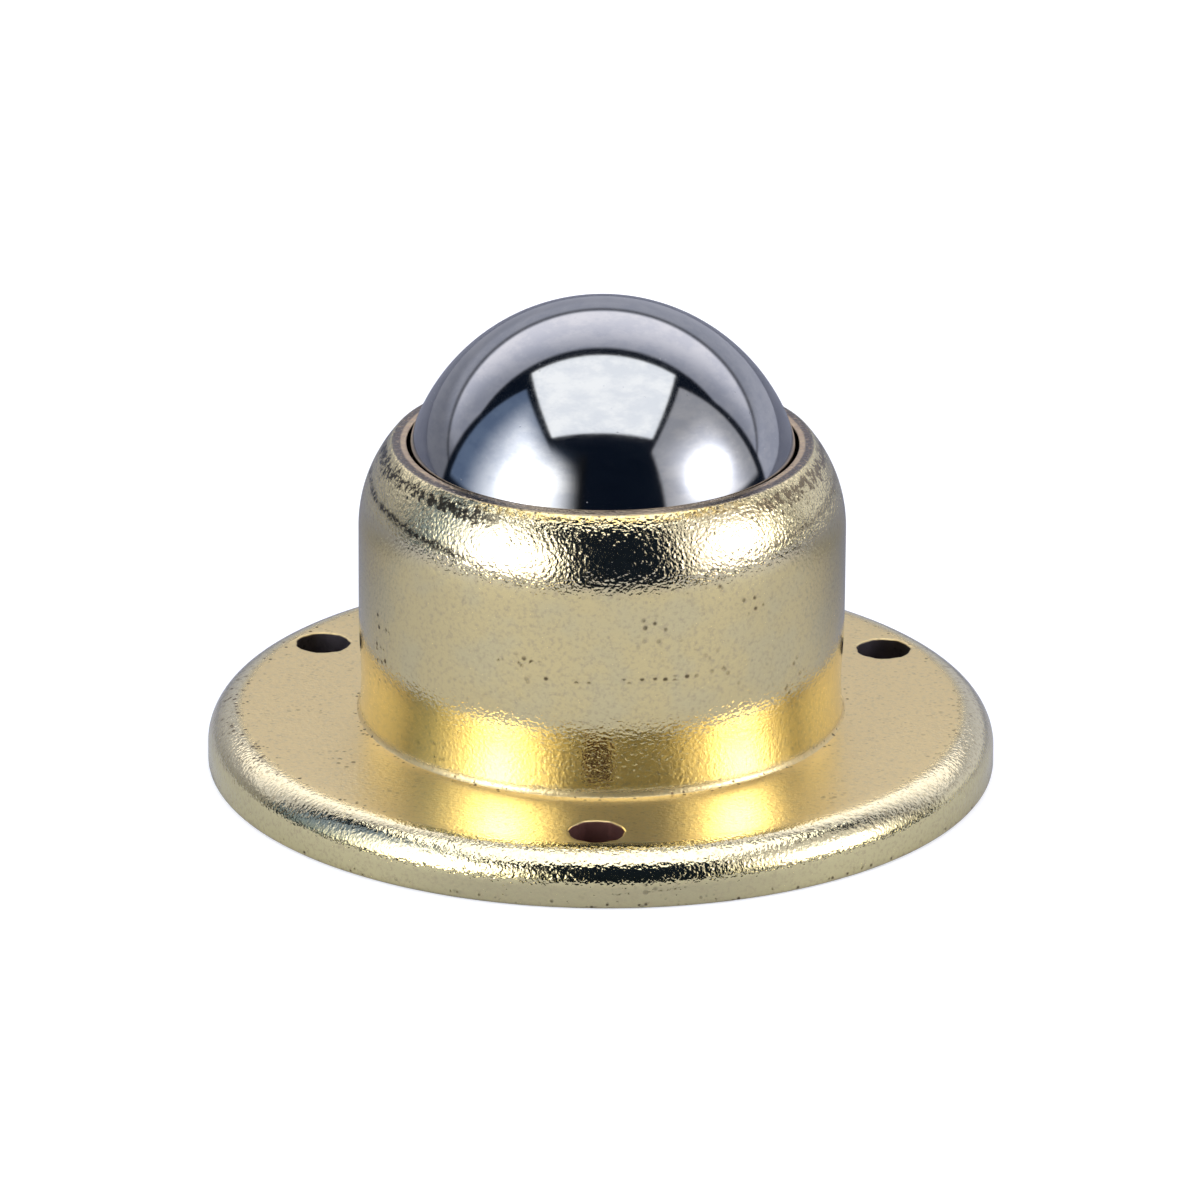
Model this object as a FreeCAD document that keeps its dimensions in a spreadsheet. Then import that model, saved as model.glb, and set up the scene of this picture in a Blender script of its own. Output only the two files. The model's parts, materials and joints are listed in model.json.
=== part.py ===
import FreeCAD, Part
import math
import os
import Sketcher

# Ball castor: a steel ball in a drawn sheet-steel housing with a round screw-on flange.
# The ball rolls on a bed of small balls in a hardened cup, and a plate closes the housing from below.
# Millimetres, +Z up. The origin is the middle of the underside, which is the mounting face.

SIZES = {
    # The ball and the bed it rolls on
    "ball_diameter": 25.4,
    "support_diameter": 3.0,
    "roll_clearance": 0.05,
    "support_gap": 0.1,
    "bed_fill_ratio": 0.9,
    # The cup under the bed
    "seat_wall": 1.0,
    "seat_base_height": 1.0,
    "seat_rim_drop": 7.0,
    "seat_side_clearance": 0.05,
    # The drawn housing
    "sheet_thickness": 1.5,
    "ball_side_gap": 1.2,
    "shoulder_drop": 2.0,
    "mouth_overlap": 0.4,
    "mouth_clearance": 0.12,
    "lip_width": 1.0,
    "lip_edge_radius": 0.2,
    "mouth_edge_radius": 0.08,
    "corner_radius": 0.6,
    "flange_width": 9.6,
    "rim_bend_radius": 2.2,
    "crimp_width": 0.5,
    # The base plate
    "plate_thickness": 2.0,
    "plate_clearance": 0.05,
    # The screw holes
    "hole_diameter": 3.4,
    "hole_inset": 4.1,
    "hole_count": 3,
    "hole_edge_radius": 0.25,
}

doc = FreeCAD.newDocument("ball_castor")
sheet = doc.addObject("Spreadsheet::Sheet", "Sizes")
for row, (alias, size) in enumerate(SIZES.items(), start=1):
    sheet.set(f"A{row}", alias.replace("_", " "))
    sheet.set(f"B{row}", str(size))
    sheet.setAlias(f"B{row}", alias)
doc.recompute()

# Sizes that follow from the driving ones, as expressions on the sheet.
BALL_RADIUS = "(Sizes.ball_diameter / 2)"
SUPPORT_RADIUS = "(Sizes.support_diameter / 2)"
BED_RADIUS = f"({BALL_RADIUS} + Sizes.roll_clearance + {SUPPORT_RADIUS})"
SEAT_INNER = f"({BALL_RADIUS} + 2 * Sizes.roll_clearance + Sizes.support_diameter)"
SEAT_OUTER = f"({SEAT_INNER} + Sizes.seat_wall)"
BALL_HEIGHT = f"(Sizes.seat_base_height + {SEAT_OUTER})"

BORE_RADIUS = f"({BALL_RADIUS} + Sizes.ball_side_gap)"
WALL_RADIUS = f"({BORE_RADIUS} + Sizes.sheet_thickness)"
FLANGE_RADIUS = f"({WALL_RADIUS} + Sizes.flange_width)"
RIM_INNER = f"({FLANGE_RADIUS} - Sizes.sheet_thickness)"
FLANGE_HEIGHT = "(Sizes.plate_thickness + Sizes.sheet_thickness)"

MOUTH_RADIUS = f"({BALL_RADIUS} - Sizes.mouth_overlap)"
MOUTH_RISE = f"sqrt(({BALL_RADIUS} + Sizes.mouth_clearance) ^ 2 - {MOUTH_RADIUS} ^ 2)"
MOUTH_HEIGHT = f"({BALL_HEIGHT} + {MOUTH_RISE})"
LIP_RADIUS = f"({MOUTH_RADIUS} + Sizes.lip_width)"
SHOULDER_HEIGHT = f"({BALL_HEIGHT} - Sizes.shoulder_drop)"
SHOULDER_RISE = f"(Sizes.shoulder_drop + {MOUTH_RISE})"

SKIRT_OUTER = f"({BORE_RADIUS} - Sizes.seat_side_clearance)"
SKIRT_INNER = f"({SKIRT_OUTER} - Sizes.seat_wall)"
HOLE_CIRCLE = f"({FLANGE_RADIUS} - Sizes.hole_inset)"


def size_of(expression):
    """Number that an expression on the sheet comes to now."""
    return float(sheet.evalExpression(expression))


def turned_in(drop):
    """Radius of an arc that leaves the upright wall and has come in by drop at the mouth's height."""
    return f"(({SHOULDER_RISE} ^ 2 + ({drop}) ^ 2) / (2 * ({drop})))"


def new_body(label):
    body = doc.addObject("PartDesign::Body", label)
    body.Label = label
    return body


def new_sketch(body, name, plane_role):
    """Empty sketch on one of the body's own origin planes."""
    sketch = body.newObject("Sketcher::SketchObject", name)
    plane = next(item for item in body.Origin.OriginFeatures if item.Role == plane_role)
    sketch.AttachmentSupport = (plane, "")
    sketch.MapMode = "FlatFace"
    return sketch


def dimension(sketch, name, expression, kind, *picks):
    """Dimension on picked geometry, bound to the sheet."""
    index = sketch.addConstraint(Sketcher.Constraint(kind, *picks, size_of(expression)))
    sketch.renameConstraint(index, name)
    sketch.setExpression(f"Constraints.{name}", expression)


def arc_between(start, end, radius, side):
    """Minor arc of a radius from start to end, with its centre on the left (1) or right (-1) of the chord."""
    chord = end - start
    left = FreeCAD.Vector(-chord.y, chord.x, 0).normalize()
    reach = math.sqrt(radius ** 2 - chord.Length ** 2 / 4)
    centre = start + chord / 2 + left * side * reach
    first, last = (start, end) if side > 0 else (end, start)
    angles = [math.atan2(point.y - centre.y, point.x - centre.x) for point in (first, last)]
    return Part.ArcOfCircle(Part.Circle(centre, FreeCAD.Vector(0, 0, 1), radius), *angles)


def draw_outline(sketch, corners):
    """Closed outline with every corner placed from the origin.

    A corner is (name, across, up, bend). The side from it to the next corner is straight where bend is None,
    and otherwise an arc of (radius, side).
    """
    places = [FreeCAD.Vector(size_of(across), size_of(up), 0) for _, across, up, _ in corners]
    ends = []
    for index, (name, _, _, bend) in enumerate(corners):
        start, end = places[index], places[(index + 1) % len(places)]
        if bend is None:
            sketch.addGeometry(Part.LineSegment(start, end))
            ends.append((1, 2))
        else:
            radius, side = bend
            sketch.addGeometry(arc_between(start, end, size_of(radius), side))
            dimension(sketch, f"{name}_bend", radius, "Radius", index)
            ends.append((1, 2) if side > 0 else (2, 1))
    for index, (name, across, up, _) in enumerate(corners):
        before = index - 1 if index else len(corners) - 1
        sketch.addConstraint(Sketcher.Constraint("Coincident", before, ends[before][1], index, ends[index][0]))
        dimension(sketch, f"{name}_across", across, "DistanceX", index, ends[index][0])
        dimension(sketch, f"{name}_up", up, "DistanceY", index, ends[index][0])


def revolve_outline(body, corners):
    """Solid of revolution about Z from an outline of radii and heights."""
    sketch = new_sketch(body, f"{body.Label}_section", "XZ_Plane")
    draw_outline(sketch, corners)
    turned = body.newObject("PartDesign::Revolution", f"{body.Label}_turned")
    turned.Profile = sketch
    turned.ReferenceAxis = (sketch, ["V_Axis"])
    turned.Angle = 360
    doc.recompute()
    return turned


def circles(feature, radius, height):
    """Names of a feature's circular edges about Z with a radius and height."""
    names = []
    for index, edge in enumerate(feature.Shape.Edges, start=1):
        if isinstance(edge.Curve, Part.Circle):
            same_radius = math.isclose(edge.Curve.Radius, size_of(radius), abs_tol=1e-4)
            same_height = math.isclose(edge.Curve.Center.z, size_of(height), abs_tol=1e-4)
            if same_radius and same_height:
                names.append(f"Edge{index}")
    return names


def break_edges(body, name, kind, size, places):
    """Fillet or chamfer on the circular edges at the given (radius, height) places."""
    base = body.Tip
    feature = body.newObject(f"PartDesign::{kind}", name)
    feature.Base = (base, [edge for place in places for edge in circles(base, *place)])
    feature.setExpression("Radius" if kind == "Fillet" else "Size", size)
    body.Tip = feature
    doc.recompute()


def punch_screw_holes(body):
    """Screw holes through the flange, the first on -Y and the rest spaced evenly round Z."""
    before = body.Tip.Shape.Volume
    sketch = new_sketch(body, f"{body.Label}_hole", "XY_Plane")
    centre = FreeCAD.Vector(0, -size_of(HOLE_CIRCLE), 0)
    radius = size_of("Sizes.hole_diameter / 2")
    sketch.addGeometry(Part.Circle(centre, FreeCAD.Vector(0, 0, 1), radius))
    sketch.addConstraint(Sketcher.Constraint("PointOnObject", 0, 3, -2))
    dimension(sketch, "hole_circle", HOLE_CIRCLE, "DistanceY", 0, 3, -1, 1)
    dimension(sketch, "hole_diameter", "Sizes.hole_diameter", "Diameter", 0)
    hole = body.newObject("PartDesign::Pocket", f"{body.Label}_punched")
    hole.Profile = sketch
    hole.Type = "ThroughAll"
    hole.Reversed = True
    doc.recompute()
    ring = body.newObject("PartDesign::PolarPattern", f"{body.Label}_holes")
    ring.Originals = [hole]
    ring.Axis = (sketch, ["N_Axis"])
    ring.Angle = 360
    ring.setExpression("Occurrences", "Sizes.hole_count")
    body.Tip = ring
    doc.recompute()
    assert ring.Shape.Volume < before, f"no holes in {body.Label}"


def make_housing():
    """Drawn shell: mouth lip, rolled shoulder, cylinder, flange, and a rim crimped under the base plate."""
    body = new_body("housing")
    corner_top = f"{FLANGE_HEIGHT} + Sizes.corner_radius"
    corner_reach = f"{WALL_RADIUS} + Sizes.corner_radius"
    rim_bend_reach = f"{FLANGE_RADIUS} - Sizes.rim_bend_radius"
    rim_bend_height = f"{FLANGE_HEIGHT} - Sizes.rim_bend_radius"
    inner_bend = "Sizes.rim_bend_radius - Sizes.sheet_thickness"
    inner_corner = "Sizes.corner_radius + Sizes.sheet_thickness"
    shoulder = turned_in(f"{WALL_RADIUS} - {LIP_RADIUS}")
    inner_shoulder = turned_in(f"{BORE_RADIUS} - {MOUTH_RADIUS}")
    revolve_outline(body, [
        ("mouth", MOUTH_RADIUS, MOUTH_HEIGHT, None),
        ("lip", LIP_RADIUS, MOUTH_HEIGHT, (shoulder, -1)),
        ("shoulder", WALL_RADIUS, SHOULDER_HEIGHT, None),
        ("wall_foot", WALL_RADIUS, corner_top, ("Sizes.corner_radius", 1)),
        ("flange_root", corner_reach, FLANGE_HEIGHT, None),
        ("rim_bend_top", rim_bend_reach, FLANGE_HEIGHT, ("Sizes.rim_bend_radius", -1)),
        ("rim_top", FLANGE_RADIUS, rim_bend_height, None),
        ("rim_foot", FLANGE_RADIUS, "0", None),
        ("crimp_tip", f"{RIM_INNER} - Sizes.crimp_width", "0", None),
        ("crimp_root", RIM_INNER, "Sizes.crimp_width", None),
        ("rim_inside_top", RIM_INNER, rim_bend_height, (inner_bend, 1)),
        ("plate_face_edge", rim_bend_reach, "Sizes.plate_thickness", None),
        ("plate_face_root", corner_reach, "Sizes.plate_thickness", (inner_corner, -1)),
        ("bore_foot", BORE_RADIUS, corner_top, None),
        ("bore_top", BORE_RADIUS, SHOULDER_HEIGHT, (inner_shoulder, 1)),
    ])
    punch_screw_holes(body)
    break_edges(body, "lip_edge", "Fillet", "Sizes.lip_edge_radius", [(LIP_RADIUS, MOUTH_HEIGHT)])
    break_edges(body, "mouth_edge", "Fillet", "Sizes.mouth_edge_radius", [(MOUTH_RADIUS, MOUTH_HEIGHT)])
    hole_edges = [("Sizes.hole_diameter / 2", FLANGE_HEIGHT)]
    break_edges(body, "hole_edges", "Fillet", "Sizes.hole_edge_radius", hole_edges)
    return body


def make_base_plate():
    """Blanked disc under the flange. The cup stands in its middle hole and the rim is crimped under its edge."""
    body = new_body("base_plate")
    plate_radius = f"({RIM_INNER} - Sizes.plate_clearance)"
    cup_hole = f"sqrt({SEAT_OUTER} ^ 2 - ({BALL_HEIGHT} - Sizes.plate_thickness) ^ 2)"
    sketch = new_sketch(body, "plate_blank", "XY_Plane")
    for index, (name, radius) in enumerate([("outside", plate_radius), ("cup_hole", cup_hole)]):
        sketch.addGeometry(Part.Circle(FreeCAD.Vector(), FreeCAD.Vector(0, 0, 1), size_of(radius)))
        sketch.addConstraint(Sketcher.Constraint("Coincident", index, 3, -1, 1))
        dimension(sketch, name, radius, "Radius", index)
    blank = body.newObject("PartDesign::Pad", "plate")
    blank.Profile = sketch
    blank.setExpression("Length", "Sizes.plate_thickness")
    doc.recompute()
    top_break = "Sizes.rim_bend_radius - Sizes.sheet_thickness + Sizes.plate_clearance"
    break_edges(body, "plate_top_edge", "Chamfer", top_break, [(plate_radius, "Sizes.plate_thickness")])
    break_edges(body, "plate_crimp_edge", "Chamfer", "Sizes.crimp_width", [(plate_radius, "0")])
    punch_screw_holes(body)
    return body


def make_ball_seat():
    """Pressed cup, round inside and out, with a short upright skirt that stands in the housing's bore."""
    body = new_body("ball_seat")
    outer_turn = f"{BALL_HEIGHT} - sqrt({SEAT_OUTER} ^ 2 - {SKIRT_OUTER} ^ 2)"
    inner_turn = f"{BALL_HEIGHT} - sqrt({SEAT_INNER} ^ 2 - {SKIRT_INNER} ^ 2)"
    rim_height = f"{BALL_HEIGHT} - Sizes.seat_rim_drop"
    revolve_outline(body, [
        ("outer_pole", "0", "Sizes.seat_base_height", (SEAT_OUTER, 1)),
        ("skirt_foot", SKIRT_OUTER, outer_turn, None),
        ("skirt_top", SKIRT_OUTER, rim_height, None),
        ("rim_inside", SKIRT_INNER, rim_height, None),
        ("bowl_edge", SKIRT_INNER, inner_turn, (SEAT_INNER, -1)),
        ("inner_pole", "0", f"{BALL_HEIGHT} - {SEAT_INNER}", None),
    ])
    return body


def make_ball(label, diameter, across, depth, up):
    """Solid ball with its centre at the given place."""
    ball = doc.addObject("Part::Sphere", label)
    ball.Label = label
    ball.setExpression("Radius", f"{diameter} / 2")
    for axis, place in zip("xyz", (across, depth, up)):
        ball.setExpression(f"Placement.Base.{axis}", place)
    return ball


def make_support_balls():
    """Bed of small balls: one at the bottom of the cup, then rows up to its skirt, with room left to roll."""
    bed_edge = f"asin(({SKIRT_INNER} - Sizes.roll_clearance - {SUPPORT_RADIUS}) / {BED_RADIUS})"
    pitch = size_of("Sizes.support_diameter + Sizes.support_gap")
    bed_radius = size_of(BED_RADIUS)
    bed_angle = math.radians(size_of(bed_edge))
    row_count = int(bed_angle / (2 * math.asin(pitch / 2 / bed_radius)))
    balls = []
    for row in range(row_count + 1):
        tilt = f"({bed_edge} * {row} / {row_count})"
        row_radius = bed_radius * math.sin(bed_angle * row / row_count)
        room = math.pi / math.asin(pitch / 2 / row_radius) if row else 0
        in_row = max(1, int(room * size_of("Sizes.bed_fill_ratio")))
        for place in range(in_row):
            turn = f"({360 * (place + row / 2)} / {in_row})"
            balls.append(make_ball(
                f"support_ball_{len(balls) + 1:02d}",
                "Sizes.support_diameter",
                f"{BED_RADIUS} * sin({tilt}) * cos({turn})",
                f"{BED_RADIUS} * sin({tilt}) * sin({turn})",
                f"{BALL_HEIGHT} - {BED_RADIUS} * cos({tilt})",
            ))
    return balls


pieces = [make_housing(), make_base_plate(), make_ball_seat()]
pieces += make_support_balls()
pieces.append(make_ball("main_ball", "Sizes.ball_diameter", "0", "0", BALL_HEIGHT))
doc.recompute()

failed = [item.Label for item in doc.Objects if {"Invalid", "Error"} & set(item.State)]
assert not failed, f"not recomputed: {failed}"
for piece in pieces:
    assert not piece.Shape.isNull() and piece.Shape.isValid(), f"bad shape: {piece.Label}"
    assert len(piece.Shape.Solids) == 1, f"not one solid: {piece.Label}"

os.makedirs("parts", exist_ok=True)
for piece in pieces:
    piece.Shape.exportStep(f"parts/{piece.Label}.step")
print(len(pieces), "pieces, overall height", round(size_of(f"{BALL_HEIGHT} + {BALL_RADIUS}"), 3))
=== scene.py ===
import json
import math

import bpy
import numpy as np
from mathutils import Matrix, Vector


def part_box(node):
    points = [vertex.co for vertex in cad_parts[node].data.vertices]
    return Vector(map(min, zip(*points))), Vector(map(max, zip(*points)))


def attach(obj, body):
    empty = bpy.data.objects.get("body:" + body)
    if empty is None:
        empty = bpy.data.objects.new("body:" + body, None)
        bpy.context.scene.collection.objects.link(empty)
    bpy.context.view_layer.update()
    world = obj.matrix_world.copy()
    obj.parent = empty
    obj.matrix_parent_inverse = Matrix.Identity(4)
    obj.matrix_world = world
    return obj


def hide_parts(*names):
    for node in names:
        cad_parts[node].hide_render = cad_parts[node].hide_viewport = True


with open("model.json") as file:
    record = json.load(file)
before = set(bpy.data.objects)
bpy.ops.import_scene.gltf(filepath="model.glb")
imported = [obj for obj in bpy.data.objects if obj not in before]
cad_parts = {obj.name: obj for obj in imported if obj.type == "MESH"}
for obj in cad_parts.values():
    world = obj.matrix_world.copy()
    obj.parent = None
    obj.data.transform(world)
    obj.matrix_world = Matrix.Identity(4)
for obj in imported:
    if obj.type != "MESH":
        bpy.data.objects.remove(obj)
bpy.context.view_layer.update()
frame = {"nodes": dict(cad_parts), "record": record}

# Housing: one deep-drawn shell of sheet steel, yellow passivated over zinc.
# The mouth is rolled in over the ball, the flange has three punched screw holes,
# and the turned-down rim is crimped under the base plate.
MM = 0.001
mounts = {mount["name"]: mount for mount in frame["record"]["mounts"]}
housing_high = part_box("housing")[1]
FLANGE_RADIUS = housing_high.y
MOUTH_HEIGHT = housing_high.z
WALL_RADIUS = mounts["body_spigot"]["dims"]["r_mm"] * MM
HOLE_CIRCLE = mounts["screw_holes"]["dims"]["pcd_mm"] / 2 * MM
HOLE_COUNT = mounts["screw_holes"]["dims"]["count"]
HOLE_RADIUS = mounts["screw_holes"]["dims"]["hole_r_mm"] * MM
SHEET = 1.5 * MM
PLATE_THICKNESS = 2.0 * MM
FLANGE_HEIGHT = PLATE_THICKNESS + SHEET
CORNER_RADIUS = 0.6 * MM
WAIST_DEPTH = 0.15 * MM
WAIST_HEIGHT = 5.8 * MM
WAIST_SPREAD = 2.2 * MM
FLARE = 0.18 * MM
FLARE_REACH = 0.2 * MM
RIM_BEND = 2.2 * MM
RIM_FOOT_ROUND = 0.25 * MM
CRIMP = 0.5 * MM
SHOULDER_HEIGHT = 15.8 * MM
LIP_RADIUS = 13.3 * MM
MOUTH_RADIUS = 12.3 * MM
LIP_ROUND = 0.3 * MM
MOUTH_ROUND = 0.08 * MM
HOLE_ROUND = 0.14 * MM
HOLE_RAGGED = 0.018
RAGGED_WAVES = ((7, 1.0), (13, 0.7))
WINDOW_INNER = 18.4 * MM
WINDOW_OUTER = 23.3 * MM
WINDOW_ROWS = 8
WINDOW_HALF_COLUMNS = 7
HOLE_RINGS = 6
HOLE_WALL_ROWS = 3
WALL_ROWS = 44
WALL_CROWDING = 1.5
COLUMNS = 360
SHARP_ANGLE = math.radians(40)


def straight(start, end, count):
    """Points from start towards end at equal steps, with the end left out."""
    share = np.arange(count)[:, None] / count
    return np.array(start) * (1 - share) + np.array(end) * share


def bend(centre, radius, first, last, count):
    """Points on a circle from one angle to another at equal steps, with the last left out."""
    angle = first + (last - first) * np.arange(count) / count
    return np.array(centre) + radius * np.stack([np.cos(angle), np.sin(angle)], axis=1)


def turned_in(drop):
    """Radius of an arc that leaves the upright wall and has come in by drop at the mouth's height."""
    rise = MOUTH_HEIGHT - SHOULDER_HEIGHT
    return (rise ** 2 + drop ** 2) / (2 * drop)


def housing_section():
    """Closed section as (radius, height) rows, and where the window rows of the two flange faces start.

    It runs over the lip, down the shoulder and wall, out along the flange, round the rim, and back inside.
    The last number of each straight or bend is its count of steps.
    """
    quarter = math.pi / 2
    bore = WALL_RADIUS - SHEET
    shoulder = turned_in(WALL_RADIUS - LIP_RADIUS)
    shoulder_middle = (WALL_RADIUS - shoulder, SHOULDER_HEIGHT)
    inner_shoulder = turned_in(bore - MOUTH_RADIUS)
    inner_middle = (bore - inner_shoulder, SHOULDER_HEIGHT)
    lip_rise = MOUTH_HEIGHT - LIP_ROUND - SHOULDER_HEIGHT
    lip_outside = shoulder_middle[0] + math.sqrt((shoulder - LIP_ROUND) ** 2 - lip_rise ** 2)
    outside_angle = math.atan2(lip_rise, lip_outside - shoulder_middle[0])
    mouth_rise = MOUTH_HEIGHT - MOUTH_ROUND - SHOULDER_HEIGHT
    lip_inside = inner_middle[0] + math.sqrt((inner_shoulder + MOUTH_ROUND) ** 2 - mouth_rise ** 2)
    inside_angle = math.atan2(mouth_rise, lip_inside - inner_middle[0])
    wall_share = np.linspace(1, 0, WALL_ROWS + 1) ** WALL_CROWDING
    wall_heights = FLANGE_HEIGHT + (SHOULDER_HEIGHT - FLANGE_HEIGHT) * wall_share
    waist = WAIST_DEPTH * np.exp(-((wall_heights - WAIST_HEIGHT) / WAIST_SPREAD) ** 2)
    flare = FLARE * np.exp(-(wall_heights - FLANGE_HEIGHT) / FLARE_REACH)
    wall_radii = WALL_RADIUS - waist + flare
    down_the_wall = [
        straight((lip_inside, MOUTH_HEIGHT), (lip_outside, MOUTH_HEIGHT), 5),
        bend((lip_outside, MOUTH_HEIGHT - LIP_ROUND), LIP_ROUND, quarter, outside_angle, 5),
        bend(shoulder_middle, shoulder, outside_angle, 0, 36),
        np.stack([wall_radii, wall_heights], axis=1)[:-1],
        straight((wall_radii[-1], FLANGE_HEIGHT), (WINDOW_INNER, FLANGE_HEIGHT), 9),
    ]
    rim_middle = (FLANGE_RADIUS - RIM_BEND, FLANGE_HEIGHT - RIM_BEND)
    window_radii = np.linspace(WINDOW_INNER, WINDOW_OUTER, WINDOW_ROWS + 1)
    over_bend = np.maximum(window_radii - rim_middle[0], 0)
    window_heights = rim_middle[1] + np.sqrt(RIM_BEND ** 2 - over_bend ** 2)
    top_window = np.stack([window_radii, window_heights], axis=1)[:-1]
    window_angle = math.acos((WINDOW_OUTER - rim_middle[0]) / RIM_BEND)
    rim_inside = FLANGE_RADIUS - SHEET
    foot_middle = (FLANGE_RADIUS - RIM_FOOT_ROUND, RIM_FOOT_ROUND)
    round_the_rim = [
        bend(rim_middle, RIM_BEND, window_angle, 0, 18),
        straight((FLANGE_RADIUS, rim_middle[1]), (FLANGE_RADIUS, RIM_FOOT_ROUND), 4),
        bend(foot_middle, RIM_FOOT_ROUND, 0, -quarter, 4),
        straight((foot_middle[0], 0), (rim_inside - CRIMP, 0), 4),
        straight((rim_inside - CRIMP, 0), (rim_inside, CRIMP), 2),
        straight((rim_inside, CRIMP), (rim_inside, rim_middle[1]), 2),
        bend(rim_middle, RIM_BEND - SHEET, 0, quarter, 5),
    ]
    under_window = straight((rim_middle[0], PLATE_THICKNESS), (WINDOW_INNER, PLATE_THICKNESS), WINDOW_ROWS)
    corner_middle = (WALL_RADIUS + CORNER_RADIUS, FLANGE_HEIGHT + CORNER_RADIUS)
    up_the_bore = [
        straight((WINDOW_INNER, PLATE_THICKNESS), (corner_middle[0], PLATE_THICKNESS), 3),
        bend(corner_middle, CORNER_RADIUS + SHEET, math.pi + quarter, math.pi, 6),
        straight((bore, corner_middle[1]), (bore, SHOULDER_HEIGHT), 8),
        bend(inner_middle, inner_shoulder, 0, inside_angle, 16),
        bend((lip_inside, MOUTH_HEIGHT - MOUTH_ROUND), MOUTH_ROUND, math.pi + inside_angle, quarter, 8),
    ]
    top_row = sum(map(len, down_the_wall))
    under_row = top_row + WINDOW_ROWS + sum(map(len, round_the_rim))
    runs = down_the_wall + [top_window] + round_the_rim + [under_window] + up_the_bore
    return np.concatenate(runs), top_row, under_row


def grid_quads(rows, columns):
    """Quads of a grid that closes on itself both ways, as (rows, columns, 4) vertex numbers."""
    row, column = np.meshgrid(np.arange(rows), np.arange(columns), indexing="ij")
    below, beside = (row + 1) % rows, (column + 1) % columns
    here, under = row * columns, below * columns
    return np.stack([here + column, under + column, under + beside, here + beside], axis=2)


def window_loop(first_row, last_row, columns):
    """Vertex numbers round a window in the revolved grid, from its first row's first column and back."""
    step = 1 if last_row > first_row else -1
    rows = np.arange(first_row, last_row, step)
    ahead = columns % COLUMNS
    return np.concatenate([
        first_row * COLUMNS + ahead[:-1],
        rows * COLUMNS + ahead[-1],
        last_row * COLUMNS + ahead[:0:-1],
        rows[::-1] * COLUMNS + step * COLUMNS + ahead[0],
    ])


def housing_mesh():
    """The section turned about Z: point = (radius sin a, -radius cos a, height), a once round.

    Each screw hole takes a window out of both flange faces. A tube of rings joins the two windows: the rings
    shrink from the window to the hole's circle, turn down over its rounded edge, and open again underneath.
    """
    section, top_row, under_row = housing_section()
    turn = 2 * math.pi * np.arange(COLUMNS) / COLUMNS
    radius, height = section[:, 0, None], section[:, 1, None]
    points = np.stack([
        radius * np.sin(turn), -radius * np.cos(turn), height + 0 * turn,
    ], axis=2).reshape(-1, 3)
    quads = grid_quads(len(section), COLUMNS)
    keep = np.ones(quads.shape[:2], bool)
    shrink = np.linspace(0, 1, HOLE_RINGS + 1)[1:, None, None]
    down = np.linspace(0, math.pi / 2, HOLE_RINGS + 1)[1:]
    edge_radii = HOLE_RADIUS + HOLE_ROUND * (1 - np.sin(down))
    edge_heights = FLANGE_HEIGHT - HOLE_ROUND * (1 - np.cos(down))
    wall_heights = np.linspace(FLANGE_HEIGHT - HOLE_ROUND, PLATE_THICKNESS, HOLE_WALL_ROWS + 1)[1:]
    pipe_radii = np.concatenate([edge_radii, np.full(HOLE_WALL_ROWS, HOLE_RADIUS)])
    pipe_heights = np.concatenate([edge_heights, wall_heights])
    faces = []
    depth = [np.zeros(len(points))]
    for hole in range(HOLE_COUNT):
        middle_column = hole * COLUMNS // HOLE_COUNT
        columns = np.arange(middle_column - WINDOW_HALF_COLUMNS, middle_column + WINDOW_HALF_COLUMNS + 1)
        top = window_loop(top_row, top_row + WINDOW_ROWS, columns)
        under = window_loop(under_row + WINDOW_ROWS, under_row, columns)
        keep[top_row:top_row + WINDOW_ROWS, columns[:-1] % COLUMNS] = False
        keep[under_row:under_row + WINDOW_ROWS, columns[:-1] % COLUMNS] = False
        angle = turn[middle_column]
        centre = HOLE_CIRCLE * np.array([math.sin(angle), -math.cos(angle)])
        away = points[top, :2] - centre
        outward = away / np.linalg.norm(away, axis=1, keepdims=True)
        round_hole = np.arctan2(outward[:, 1], outward[:, 0]) + hole
        ragged = HOLE_RAGGED * sum(share * np.sin(waves * round_hole) for waves, share in RAGGED_WAVES)
        outward = outward * (1 + ragged[:, None])
        circle = centre + outward * (HOLE_RADIUS + HOLE_ROUND)
        flat = points[top, :2] * (1 - shrink) + circle * shrink
        over_bend = np.maximum(np.linalg.norm(flat, axis=2) - FLANGE_RADIUS + RIM_BEND, 0)
        flat_height = FLANGE_HEIGHT - RIM_BEND + np.sqrt(RIM_BEND ** 2 - over_bend ** 2)
        pipe = centre + outward * pipe_radii[:, None, None]
        pipe_height = pipe_heights[:, None] + 0 * away[:, 0]
        spread = shrink[:-1]
        below = pipe[-1] * (1 - spread) + points[under, :2] * spread
        below_height = np.full(below.shape[:2], PLATE_THICKNESS)
        rings = np.concatenate([flat, pipe, below])
        ring_heights = np.concatenate([flat_height, pipe_height, below_height])
        tube = np.concatenate([rings, ring_heights[:, :, None]], axis=2)
        size = len(top)
        start = len(points)
        numbers = start + np.arange(tube.shape[0] * size).reshape(-1, size)
        numbers = np.concatenate([top[None], numbers, under[None]])
        beside = np.roll(numbers, -1, axis=1)
        tube_quads = np.stack([numbers[:-1], numbers[1:], beside[1:], beside[:-1]], axis=2)
        faces.append(tube_quads.reshape(-1, 4))
        points = np.concatenate([points, tube.reshape(-1, 3)])
        pipe_depth = np.linspace(0, 1, len(pipe))
        ring_depth = np.concatenate([np.zeros(len(flat)), pipe_depth, np.ones(len(below))])
        depth.append(np.repeat(ring_depth, size))
    faces = np.concatenate([quads[keep]] + faces)
    used, numbers = np.unique(faces, return_inverse=True)
    return points[used], numbers.reshape(faces.shape).tolist(), np.concatenate(depth)[used]


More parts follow.
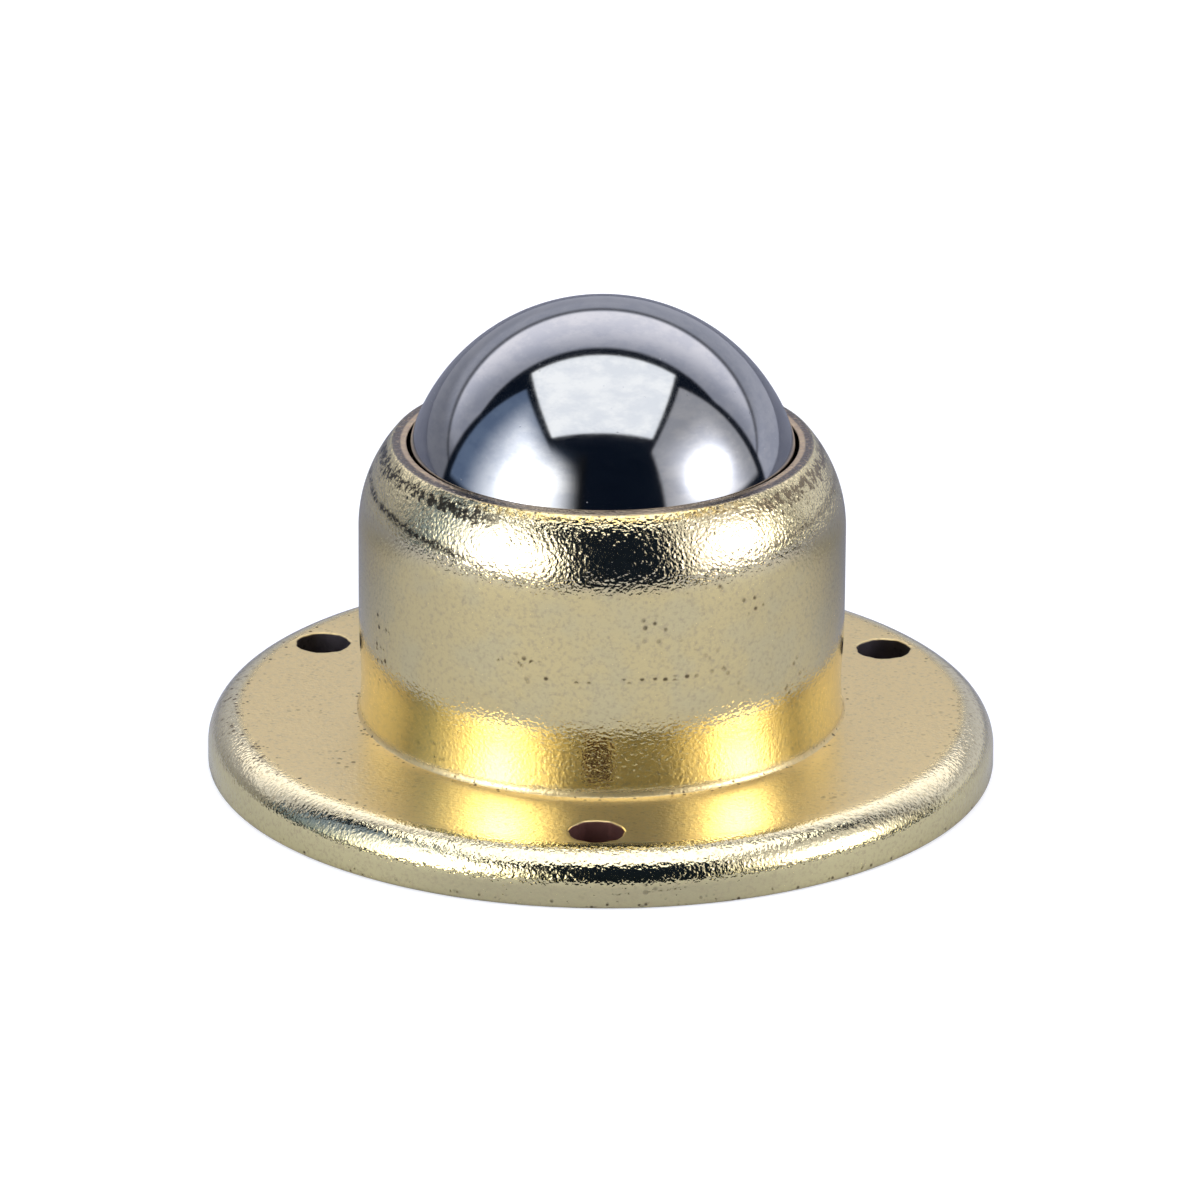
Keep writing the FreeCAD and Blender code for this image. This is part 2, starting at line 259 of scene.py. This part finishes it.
def new_piece(name, points, faces):
    """Smooth mesh object at the origin, from an array of points and a list of faces."""
    mesh = bpy.data.meshes.new(name)
    mesh.from_pydata(points.tolist(), [], faces)
    mesh.validate()
    mesh.shade_smooth()
    piece = bpy.data.objects.new(name, mesh)
    bpy.context.scene.collection.objects.link(piece)
    return piece


class Wire:
    """A shader node's output. Sums, products and powers of wires add Math nodes to the same tree."""

    def __init__(self, tree, socket=None):
        self.tree = tree
        self.socket = socket

    def node(self, kind, settings=None, sockets=None, output=0):
        """New node of a kind: its settings are set first, then its sockets get values or links."""
        made = self.tree.nodes.new(kind)
        for name, value in (settings or {}).items():
            setattr(made, name, value)
        for key, value in (sockets or {}).items():
            if isinstance(value, Wire):
                self.tree.links.new(value.socket, made.inputs[key])
            else:
                made.inputs[key].default_value = value
        return Wire(self.tree, made.outputs[output] if made.outputs else None)

    def maths(self, operation, *values):
        return self.node("ShaderNodeMath", {"operation": operation}, dict(enumerate(values)))

    def __add__(self, other):
        return self.maths("ADD", self, other)

    def __radd__(self, other):
        return self.maths("ADD", other, self)

    def __sub__(self, other):
        return self.maths("SUBTRACT", self, other)

    def __rsub__(self, other):
        return self.maths("SUBTRACT", other, self)

    def __mul__(self, other):
        return self.maths("MULTIPLY", self, other)

    def __rmul__(self, other):
        return self.maths("MULTIPLY", other, self)

    def __truediv__(self, other):
        return self.maths("DIVIDE", self, other)

    def __rtruediv__(self, other):
        return self.maths("DIVIDE", other, self)

    def __pow__(self, other):
        return self.maths("POWER", self, other)

    def __rpow__(self, other):
        return self.maths("POWER", other, self)

    def absolute(self):
        return self.maths("ABSOLUTE", self)

    def larger(self, other):
        return self.maths("MAXIMUM", self, other)

    def smaller(self, other):
        return self.maths("MINIMUM", self, other)

    def reach(self, along):
        """Distance from the upright axis, from this part across and the part along."""
        return (self * self + along * along) ** 0.5

    def bearing(self, along):
        """Degrees right of the front, from this part across and the part along."""
        return self.maths("ARCTAN2", self, along * -1.0) * math.degrees(1)

    def rise(self, low, high):
        """0 below low, 1 above high, and a smooth step between. With low above high it falls instead."""
        settings = {"interpolation_type": "SMOOTHSTEP"}
        if low < high:
            return self.node("ShaderNodeMapRange", settings, {0: self, 1: low, 2: high, 3: 0.0, 4: 1.0})
        return self.node("ShaderNodeMapRange", settings, {0: self, 1: high, 2: low, 3: 1.0, 4: 0.0})

    def inside(self, low, high, soft):
        """1 between low and high, falling off over twice soft about each."""
        return self.rise(low - soft, low + soft) * self.rise(high + soft, high - soft)

    def blend(self, other, share):
        """Colour mixed by a share towards another colour, which is a wire or three numbers.

        The Mix node's colours have the same names as its other sockets, so they go by number.
        """
        target = other if isinstance(other, Wire) else (*other, 1.0)
        return self.node("ShaderNodeMix", {"data_type": "RGBA"}, {0: share, 6: self, 7: target}, 2)

    def colour(self, red, green, blue):
        """Colour joined from three values or wires."""
        return self.node("ShaderNodeCombineColor", None, {0: red, 1: green, 2: blue})

    def split(self):
        """The three parts of a vector."""
        parts = self.node("ShaderNodeSeparateXYZ", None, {0: self}).socket.node
        return [Wire(self.tree, output) for output in parts.outputs]

    def noise(self, scale, detail=2.0, roughness=0.5, stretch=(1, 1, 1)):
        """Soft noise from 0 to 1 at a place, with scale in lumps for each unit of length."""
        place = self.node("ShaderNodeVectorMath", {"operation": "MULTIPLY"}, {0: self, 1: stretch})
        return place.node("ShaderNodeTexNoise", None, {
            "Vector": place, "Scale": scale, "Detail": detail, "Roughness": roughness,
        })

    def spots(self, scale, size):
        """Round spots: 1 in the middle of each scattered cell and 0 from size away, in cell widths."""
        distance = self.node("ShaderNodeTexVoronoi", None, {"Vector": self, "Scale": scale})
        return distance.rise(size, size * 0.4)


def new_material(name):
    """Empty material, and a wire that carries the place on the piece in millimetres."""
    material = bpy.data.materials.new(name)
    material.use_nodes = True
    material.node_tree.nodes.clear()
    start = Wire(material.node_tree)
    place = start.node("ShaderNodeTexCoord", output="Object")
    in_mm = place.node("ShaderNodeVectorMath", {"operation": "SCALE"}, {0: place, 3: 1 / MM})
    return material, in_mm


def metal_surface(place, colour, roughness, height, metallic=1.0):
    """Metal with a colour, a roughness and a bump from a height in millimetres, linked to the output."""
    normal = place.node("ShaderNodeBump", None, {"Strength": 1.0, "Distance": MM, "Height": height})
    shader = place.node("ShaderNodeBsdfPrincipled", None, {
        "Base Color": colour, "Metallic": metallic, "Roughness": roughness, "Normal": normal,
    })
    place.node("ShaderNodeOutputMaterial", None, {"Surface": shader})


GOLD = (0.86, 0.70, 0.335)
CLOUDY_GOLD = (0.81, 0.685, 0.36)
# Brighter, deeper gold low on the wall: a painted reflection of the lamp-lit flange below it.
LOW_WALL_REFLECTION_GOLD = (0.97, 0.79, 0.33)
RIM_GOLD = (0.86, 0.75, 0.39)
# Darker gold low on the front of the rim: painted shade, where the rim mirrors the shadowed paper in front.
RIM_FRONT_SHADE_GOLD = (0.66, 0.58, 0.32)
BEND_GOLD = (0.88, 0.80, 0.60)
# Paler, brighter gold on the shoulder's sides: a painted sheen for light from the side lamps.
SIDE_SHEEN_GOLD = (0.96, 0.84, 0.50)
FLANGE_GOLD = (0.775, 0.615, 0.31)
GRAINY_GOLD = (0.60, 0.50, 0.29)
LIP_BROWN = (0.46, 0.33, 0.24)
# Near black on the lip's ring next to the ball: painted shade in the gap, broken up by the grain.
LIP_GAP_SHADE = (0.085, 0.078, 0.088)
# Deep bright gold along the front of the crest: a painted highlight, broken up by the grain.
CREST_HIGHLIGHT_GOLD = (0.85, 0.60, 0.20)
# Black and brown for the crest's blotches, also used for the painted dark reflection line on the shoulder.
BLOTCH_AND_REFLECTION_BLACK = (0.028, 0.022, 0.018)
BLOTCH_AND_REFLECTION_BROWN = (0.15, 0.10, 0.065)
DIRT_BROWN = (0.07, 0.05, 0.035)
# Near black in the screw holes, dark red-brown in the front one: painted shade in the holes.
HOLE_SHADE_BLACK = (0.06, 0.052, 0.062)
HOLE_SHADE_BROWN = (0.135, 0.06, 0.053)
PIT_PATCHES = (
    (-63, 10.6, 4, 1.7), (-20, 12.2, 6, 0.4), (13, 14.8, 3, 0.6),
    (29, 17.2, 3, 0.5), (39, 15.3, 4, 0.6), (56, 20.1, 16, 0.4),
)


def yellow_plating():
    """Yellow passivated zinc: pale gold, orange peel on the drawn bends, wear on the lip, dark pits and
    specks, and painted light and shade.

    Places are millimetres and degrees right of the front hole. A patch of pits on the wall is given by its
    middle (degrees, height) and its half width (degrees, height). The peel is a bump, deepest on the bends.
    """
    material, place = new_material("yellow_plating")
    across, along, up = place.split()
    radius = across.reach(along)
    turn = across.bearing(along)
    side = turn.absolute()
    cloud = place.noise(0.35, 3.0)
    fine = place.noise(1.6, 3.0)
    grain = place.noise(3.6, 3.0, 0.7)
    peel = place.noise(4.4, 1.0)
    peas = place.spots(2.6, 0.4)

    # Regions of the pressing, each 1 inside and 0 outside.
    front = turn.inside(-26, 26, 12)
    shoulder = up.rise(16.6, 18.2)
    rim = radius.rise(22.6, 23.4)
    flange = up.rise(4.2, 3.7) * (1 - rim)
    low_wall = up.rise(8.5, 6.5) * radius.rise(17, 16)
    # The shoulder's sides: rougher with a deeper peel, and with a painted sheen in their colour.
    wear_and_sheen = up.rise(17.6, 18.3) * side.rise(34, 46)
    lip_top = radius.rise(13.3, 13.05) * up.rise(20.6, 21.2)
    # Painted shade on the lip's ring next to the ball, lighter at the front.
    lip_shade_ring = radius.inside(12.75, 13.3, 0.08) * up.rise(20.4, 21.0) * (1 - front * 0.85)
    crest_line = radius.inside(13.25, 13.65, 0.1) * up.rise(20.0, 20.6) * turn.inside(-36, 40, 8)
    hole = place.node("ShaderNodeAttribute", {"attribute_name": "hole_depth"}, output="Fac").rise(0.1, 0.5)

    # Dark blotches on the rolled edge, and a painted dark reflection of the tent's dark seam at the floor,
    # as a ragged line where the shoulder starts to turn in.
    bend_line = up - (18.3 + (side - 36) * 0.02) + (fine - 0.5) * 0.6
    bend_dark_reflection = bend_line.inside(-0.2, 0.2, 0.14) * side.rise(28, 38) * grain.rise(0.43, 0.5)
    bend_dark_reflection = bend_dark_reflection * (1 - turn.rise(0, 30) * 0.45)
    blotches = (fine * 0.5 + grain * 0.7 + up.inside(20.4, 21.1, 0.4) * 0.16).rise(0.68, 0.74)
    blotched_sides = turn.rise(-14, -34) + turn.rise(24, 50) * 0.85
    blotches_and_bend_reflection = (up.inside(19.9, 21.25, 0.2) * blotches * blotched_sides).larger(bend_dark_reflection)

    # Dots in a row on the wall and on the rim, and pricks along the crest.
    wall_row = up.inside(11.1, 11.4, 0.1) * turn.inside(-16, 23, 3) * place.spots(1.9, 0.42)
    rim_row = (up - turn * 0.03).inside(0.85, 0.95, 0.06) * turn.inside(3, 13, 1) * rim
    scratch = wall_row + rim_row * grain.rise(0.5, 0.58) + crest_line * peas * fine.rise(0.42, 0.5)

    # Pits in patches, and specks that gather at the edges.
    flange_edge = radius.inside(22.7, 24.2, 0.3) * up.rise(1.2, 2.0) * turn.inside(-104, -62, 6)
    flange_patch = radius.inside(17.8, 19.6, 0.3) * turn.inside(-64, -55, 2) * flange
    blemishes = place.noise(0.3, 1.0).rise(0.6, 0.72) * 0.5
    blemishes = blemishes.larger(flange_edge).larger(flange_patch * 0.8)
    for middle, height, half_width, half_height in PIT_PATCHES:
        beside = turn.inside(middle - half_width, middle + half_width, 2)
        blemishes = blemishes.larger(beside * up.inside(height - half_height, height + half_height, 0.3))
    pits = place.spots(1.8, 0.4) * fine.rise(0.38, 0.46) * blemishes
    edge_sides = turn.rise(-25, -50) + turn.rise(40, 70) * 0.5
    edge = radius.inside(22.3, 23.6, 0.4) * up.rise(1.6, 2.4) * edge_sides
    foot = up.rise(0.75, 0.3) * radius.rise(24, 24.6) + radius.inside(15.4, 15.9, 0.1) * up.rise(3.9, 3.6)
    specks = place.spots(2.3, 0.36) * fine.rise(0.46, 0.54) * (edge + foot * 0.8 + flange * 0.12 + 0.1)
    dirt = pits.larger(specks.smaller(1.0)).larger(scratch)

    blotch_and_reflection_colour = place.colour(*BLOTCH_AND_REFLECTION_BLACK).blend(BLOTCH_AND_REFLECTION_BROWN, turn.rise(0, 20))
    # Painted shade down the walls of the screw holes.
    hole_shade_colour = place.colour(*HOLE_SHADE_BLACK).blend(HOLE_SHADE_BROWN, front)
    colour = place.colour(*GOLD)
    for layer, share in (
        (CLOUDY_GOLD, cloud.rise(0.4, 0.65)),
        # Painted reflection: brighter gold low on the wall, where it mirrors the lamp-lit flange.
        (LOW_WALL_REFLECTION_GOLD, low_wall),
        (RIM_GOLD, rim),
        # Painted shade low on the front of the rim.
        (RIM_FRONT_SHADE_GOLD, rim * front * up.rise(2.0, 1.2)),
        (BEND_GOLD, (shoulder + rim * up.rise(1.8, 2.8)) * 0.6),
        # Painted sheen on the shoulder's sides.
        (SIDE_SHEEN_GOLD, wear_and_sheen),
        (FLANGE_GOLD, flange),
        (GRAINY_GOLD, grain.rise(0.54, 0.28) * 0.7),
        (LIP_BROWN, lip_top * (0.5 + fine * 0.6)),
        # Painted shade by the ball, broken up by the grain.
        (LIP_GAP_SHADE, lip_shade_ring * grain.rise(0.32, 0.46) * 0.9),
        # Painted highlight along the crest.
        (CREST_HIGHLIGHT_GOLD, crest_line * grain.rise(0.4, 0.55) * 0.8),
        # Blotches on the crest, and the painted dark reflection line below it.
        (blotch_and_reflection_colour, blotches_and_bend_reflection * 0.95),
        (DIRT_BROWN, dirt * 0.9),
        # Painted shade in the screw holes.
        (hole_shade_colour, hole),
    ):
        colour = colour.blend(layer, share)
    roughness = 0.075 + flange * 0.21 + wear_and_sheen * 0.05 + lip_top * 0.15 + blotches_and_bend_reflection * 0.1
    roughness = roughness + dirt * 0.4 + cloud * 0.03 + hole * 0.35
    bent = shoulder + rim * (0.4 + front * 0.6)
    peel_depth = 0.02 + bent * 0.018 + wear_and_sheen * 0.012
    height = peel * peel_depth + peas * bent * 0.01 + grain * 0.006 + place.noise(1.1, 1.0) * 0.008
    metallic = 1 - flange * 0.12 - low_wall * 0.06
    metal_surface(place, colour, roughness, height, metallic)
    return material


housing_points, housing_faces, hole_depth = housing_mesh()
housing = new_piece("housing_shell", housing_points, housing_faces)
depth_on_points = housing.data.attributes.new("hole_depth", "FLOAT", "POINT")
depth_on_points.data.foreach_set("value", hole_depth.astype(np.float32))
housing.data.set_sharp_from_angle(angle=SHARP_ANGLE)
housing.data.materials.append(yellow_plating())
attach(housing, "housing")
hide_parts("housing")

# Main ball: solid through-hardened bearing steel, ground and lapped to a mirror.
# It is dropped in through the open bottom of the housing and stands proud of the mouth.
ball_low, ball_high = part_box("main_ball")
BALL_RADIUS = (ball_high.z - ball_low.z) / 2
BALL_CENTRE = (ball_low + ball_high) / 2
BALL_ROWS = 128
BALL_COLUMNS = 256
CLEAN_STEEL = (0.45, 0.455, 0.465)
SMEARED_STEEL = (0.38, 0.392, 0.418)
SPECK_GREY = (0.35, 0.36, 0.40)


def ball_mesh(centre, radius, rows, columns):
    """Sphere: point = centre + radius (sin t cos a, sin t sin a, cos t), t pole to pole, a once round."""
    tilt = np.linspace(0, math.pi, rows + 1)[1:-1, None]
    turn = 2 * math.pi * np.arange(columns)[None] / columns
    rings = np.stack([
        np.sin(tilt) * np.cos(turn), np.sin(tilt) * np.sin(turn), np.cos(tilt) + 0 * turn,
    ], axis=2)
    poles = np.array([[0, 0, 1], [0, 0, -1]])
    points = np.array(centre) + radius * np.concatenate([rings.reshape(-1, 3), poles])
    here = np.arange((rows - 1) * columns).reshape(rows - 1, columns)
    beside = np.roll(here, -1, axis=1)
    sides = np.stack([here[:-1], here[1:], beside[1:], beside[:-1]], axis=2).reshape(-1, 4)
    top = np.stack([np.full(columns, here.size), here[0], beside[0]], axis=1)
    bottom = np.stack([here[-1], np.full(columns, here.size + 1), beside[-1]], axis=1)
    return points, sides.tolist() + top.tolist() + bottom.tolist()


def lapped_steel():
    """Mirror steel, a little blue, with faint smears, crossing hairlines and a few dull specks."""
    material, place = new_material("lapped_steel")
    haze = place.noise(0.5, 3.0)
    hairs = place.noise(0.8, 4.0, 0.7, (1, 9, 3)) * place.noise(0.8, 4.0, 0.7, (7, 1, 2))
    specks = place.spots(1.4, 0.1) * haze.rise(0.46, 0.58)
    smears = place.noise(0.45, 4.0, 0.65, (1, 1, 2.2))
    steel = place.colour(*CLEAN_STEEL).blend(SMEARED_STEEL, smears.rise(0.36, 0.64))
    colour = steel.blend(SPECK_GREY, specks * 0.6)
    roughness = 0.035 + haze * 0.03 + hairs * 0.09 + specks * 0.25
    metal_surface(place, colour, roughness, hairs * 0.0006 - specks * 0.002)
    return material


ball = new_piece("rolling_ball", *ball_mesh(BALL_CENTRE, BALL_RADIUS, BALL_ROWS, BALL_COLUMNS))
ball.data.materials.append(lapped_steel())
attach(ball, "main_ball")
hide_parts("main_ball")

# Support balls: small hardened balls, loose in the cup, that carry the main ball.
# They are poured in behind it and keep a little room to roll.
GREY_STEEL = (0.45, 0.45, 0.46)
STRAW_TINT = (0.46, 0.40, 0.32)
BLUE_TINT = (0.33, 0.35, 0.42)


def finish_node(node, material):
    """Gives a carried-over solid one material."""
    node.data.materials.clear()
    node.data.materials.append(material)


def hardened_steel():
    """Hardened steel: grey with a straw and blue heat tint, and a fine grinding texture."""
    material, place = new_material("hardened_steel")
    tint = place.noise(0.3, 2.0)
    grind = place.noise(3.0, 3.0, 0.6, (1, 1, 4))
    steel = place.colour(*GREY_STEEL).blend(STRAW_TINT, tint.rise(0.45, 0.65))
    colour = steel.blend(BLUE_TINT, tint.rise(0.45, 0.3) * 0.7)
    metal_surface(place, colour, 0.16 + grind * 0.16, grind * 0.003)
    return material


bearing_steel = hardened_steel()
for name, node in frame["nodes"].items():
    if name.startswith("support_ball"):
        finish_node(node, bearing_steel)

# Ball seat: hardened pressed cup that closes the bed from below.
# Its skirt stands in the housing's bore and its round bottom sits in the middle hole of the base plate.
finish_node(frame["nodes"]["ball_seat"], bearing_steel)

# Base plate: blanked steel disc with the same yellow plating, duller where it was rolled and not drawn.
# The housing's rim is crimped under its edge, and its screw holes line up with the flange's.
DULL_GOLD = (0.60, 0.505, 0.29)
RUBBED_GOLD = (0.50, 0.46, 0.35)
SPECK_BROWN = (0.12, 0.09, 0.06)


def dull_plating():
    """Yellow plating on rolled sheet: faint rolling lines, rubbed patches and dark specks."""
    material, place = new_material("dull_plating")
    rolling = place.noise(1.0, 4.0, 0.6, (0.12, 3.0, 1.0))
    rubbed = place.noise(0.25, 4.0).rise(0.48, 0.66)
    specks = place.spots(1.3, 0.16) * place.noise(0.3, 1.0).rise(0.5, 0.65)
    gold = place.colour(*DULL_GOLD).blend(RUBBED_GOLD, rubbed * 0.7)
    colour = gold.blend(SPECK_BROWN, specks * 0.8)
    roughness = 0.3 + rolling * 0.12 + rubbed * 0.1 + specks * 0.2
    metal_surface(place, colour, roughness, rolling * 0.006 - specks * 0.01)
    return material


finish_node(frame["nodes"]["base_plate"], dull_plating())

# Floor: one sheet of pale paper that the castor stands on, with painted shade behind the castor.
# It glows towards the camera, so that it shows white and keeps its soft shadow, and a little in the metal.
FLOOR_SIZE = 6.0
FLOOR_DROP = 0.02 * MM
FLOOR_GLOW = 0.6
FLOOR_GLOW_BEHIND = 0.25
FLOOR_GLOW_AWAY = 0.4
FLOOR_GLOW_IN_METAL = 0.09
PAPER_ROUGHNESS = 0.9
PAPER_IN_FRONT = (0.425, 0.445, 0.54)
# Darker paper behind the castor: painted shade, which the metal mirrors at its sides.
PAPER_SHADE_BEHIND = (0.20, 0.21, 0.26)


def sheet_of_paper(half_size, height):
    """Flat square: point = (u half size, v half size, height), u and v from -1 to 1."""
    corners = np.array([[-1, -1], [1, -1], [1, 1], [-1, 1]]) * half_size
    points = np.concatenate([corners, np.full((4, 1), height)], axis=1)
    return points, [(0, 1, 2, 3)]


def pale_paper():
    """Matt paper with painted shade behind the castor, that glows for the camera and a little in metal."""
    material, place = new_material("floor_paper")
    path = place.node("ShaderNodeLightPath").socket.node
    camera_ray, glossy_ray, clear_ray = (
        Wire(material.node_tree, path.outputs[name])
        for name in ("Is Camera Ray", "Is Glossy Ray", "Is Transmission Ray")
    )
    across, along, _ = place.split()
    away = across.reach(along).rise(50, 150)
    in_front = along.rise(-5, -45)
    behind = along.rise(-5, 40)
    glow = (camera_ray + clear_ray) * (FLOOR_GLOW + behind * FLOOR_GLOW_BEHIND + away * FLOOR_GLOW_AWAY)
    glow = glow + glossy_ray * in_front * FLOOR_GLOW_IN_METAL
    shader = place.node("ShaderNodeBsdfPrincipled", None, {
        "Base Color": place.colour(*PAPER_IN_FRONT).blend(PAPER_SHADE_BEHIND, behind),
        "Roughness": PAPER_ROUGHNESS,
        "Emission Color": place.colour(glow, glow, glow),
        "Emission Strength": 1.0,
    })
    place.node("ShaderNodeOutputMaterial", None, {"Surface": shader})
    return material


floor = new_piece("floor", *sheet_of_paper(FLOOR_SIZE / 2, -FLOOR_DROP))
floor.data.materials.append(pale_paper())

# Light tent: a dome of white cloth panels round the castor, open and dark on the camera's side.
# A bright roof panel, a lamp behind each side panel, and a grey back, with dark seams between them.
# The camera doesn't see the cloth: behind the castor it sees the paper and a plain white room.
TENT_RADIUS = 0.95
TENT_ROWS = 48
TENT_COLUMNS = 96
SEAM_DARK = (0.007, 0.012, 0.024)
ROOF_WHITE = (1.92, 1.95, 1.97)
ROOM_WHITE = (1.0, 1.0, 1.0, 1.0)


def tent_mesh(centre, radius, rows, columns):
    """Half sphere down to the floor: point = centre + radius (sin t cos a, sin t sin a, cos t)."""
    points, faces = ball_mesh(centre, radius, rows, columns)
    points[:, 2] = np.maximum(points[:, 2], -FLOOR_DROP)
    return points, [face[::-1] for face in faces if points[list(face), 2].max() > 0]


def tent_light():
    """Emission by direction from the ball. A reach is the way across or along for one unit of height."""
    material, place = new_material("tent_cloth")
    centre = tuple(BALL_CENTRE / MM)
    offset = place.node("ShaderNodeVectorMath", {"operation": "SUBTRACT"}, {0: place, 1: centre})
    direction = offset.node("ShaderNodeVectorMath", {"operation": "NORMALIZE"}, {0: offset})
    across, along, up = direction.split()
    height = up.larger(0.02)
    across_reach = across / height
    along_reach = along / height
    slope = along / across.absolute().larger(0.001) - across.rise(-0.01, 0.01) * 0.075
    azimuth = across.bearing(along)
    elevation = up.maths("ARCSINE", up) * math.degrees(1)

    # Panels, each 1 on its cloth and 0 at its seams.
    roof = across_reach.inside(-0.62, 0.62, 0.015) * along_reach.inside(-0.68, 0.31, 0.015)
    roof = roof * up.rise(0.3, 0.4)
    sides = slope.rise(0.19, 0.15) * elevation.rise(2.5, 5.5)
    beside_roof = across_reach.rise(-0.70, -0.74).larger(elevation.rise(46, 38))
    left = sides * azimuth.rise(-8, -14) * beside_roof
    right = sides * across_reach.rise(0.68, 0.72) * azimuth.rise(36, 39)
    back = slope.rise(0.24, 0.29) * along_reach.rise(0.40, 0.46)

    # The back is grey and a little blue, and lighter above a dark bar.
    back_rise = up / along.larger(0.05)
    back_top = along.rise(0.3, 0.8) * back_rise.rise(0.5, 0.6)
    back_grey = 0.53 + 0.03 * back_rise.rise(0.2, 0.32) + 0.95 * back_top
    back_grey = back_grey * (1 + elevation.rise(16, 9) * (across * 0.4 - 0.05))
    back_grey = back_grey * (1 - back_rise.inside(0.46, 0.54, 0.05) * 0.75)
    back_red = back_grey * (0.97 + back_top * 0.05)
    back_blue = back_grey * (1.17 - back_top * 0.1)

    # Each side has the soft light of its cloth and the hot spot of the lamp behind it.
    left_blue = azimuth.rise(-8, -70)
    left_top = elevation + (azimuth + 49) * 0.35
    left_cloth = 2.4 * azimuth.rise(-12, -32) * azimuth.rise(-92, -52) * left_top.rise(50, 32)
    left_lamp = (azimuth.inside(-60, -36, 14) * elevation.inside(10, 26, 12)) ** 2.0
    left_light = left_cloth + 15.0 * left_lamp + 0.01
    right_cloth = 0.65 + 1.4 * azimuth.rise(34, 68) * azimuth.rise(102, 74) * elevation.rise(46, 26)
    right_lamp = (azimuth.inside(56, 84, 14) * elevation.inside(12, 26, 12)) ** 2.0
    right_light = right_cloth + 16.0 * right_lamp

    light = place.colour(*SEAM_DARK)
    for panel_colour, panel in (
        (place.colour(back_red, back_grey, back_blue), back),
        (place.colour(*(left_light + left_blue * share for share in (0.2, 0.28, 0.44))), left),
        (place.colour(right_light, right_light, right_light * 1.06), right),
        (ROOF_WHITE, roof),
    ):
        light = light.blend(panel_colour, panel)
    shader = light.node("ShaderNodeEmission", None, {"Color": light, "Strength": 1.0})
    light.node("ShaderNodeOutputMaterial", None, {"Surface": shader})
    return material


tent = new_piece("light_tent", *tent_mesh(BALL_CENTRE, TENT_RADIUS, TENT_ROWS, TENT_COLUMNS))
tent.data.materials.append(tent_light())
tent.data.materials[0].cycles.emission_sampling = "NONE"
tent.visible_camera = False
room = bpy.data.worlds.new("white_room")
room.use_nodes = True
room.node_tree.nodes["Background"].inputs["Color"].default_value = ROOM_WHITE
bpy.context.scene.world = room
bpy.context.scene.view_settings.view_transform = "Standard"

# Camera: a long lens, a little above the castor and almost square on to one screw hole.
# Its place, lens, and a small turn and roll frame the castor as the photograph does.
SENSOR_WIDTH_MM = 36
FOCAL_LENGTH_MM = 295.5
CAMERA_DISTANCE = 0.624
CAMERA_RISE = math.radians(21.16)
CAMERA_TURN = math.radians(0.61)
CAMERA_ROLL = math.radians(0.39)
AIM = Vector((-0.11 * MM, 0, 10.7 * MM))
lens = bpy.data.cameras.new("studio_camera")
lens.sensor_width = SENSOR_WIDTH_MM
lens.lens = FOCAL_LENGTH_MM
camera = bpy.data.objects.new("studio_camera", lens)
bpy.context.scene.collection.objects.link(camera)
towards_camera = Vector((
    math.sin(CAMERA_TURN) * math.cos(CAMERA_RISE),
    -math.cos(CAMERA_TURN) * math.cos(CAMERA_RISE),
    math.sin(CAMERA_RISE),
))
facing = towards_camera.to_track_quat("Z", "Y").to_matrix().to_4x4()
standing = Matrix.Translation(AIM + towards_camera * CAMERA_DISTANCE)
camera.matrix_world = standing @ facing @ Matrix.Rotation(CAMERA_ROLL, 4, "Z")
bpy.context.scene.camera = camera
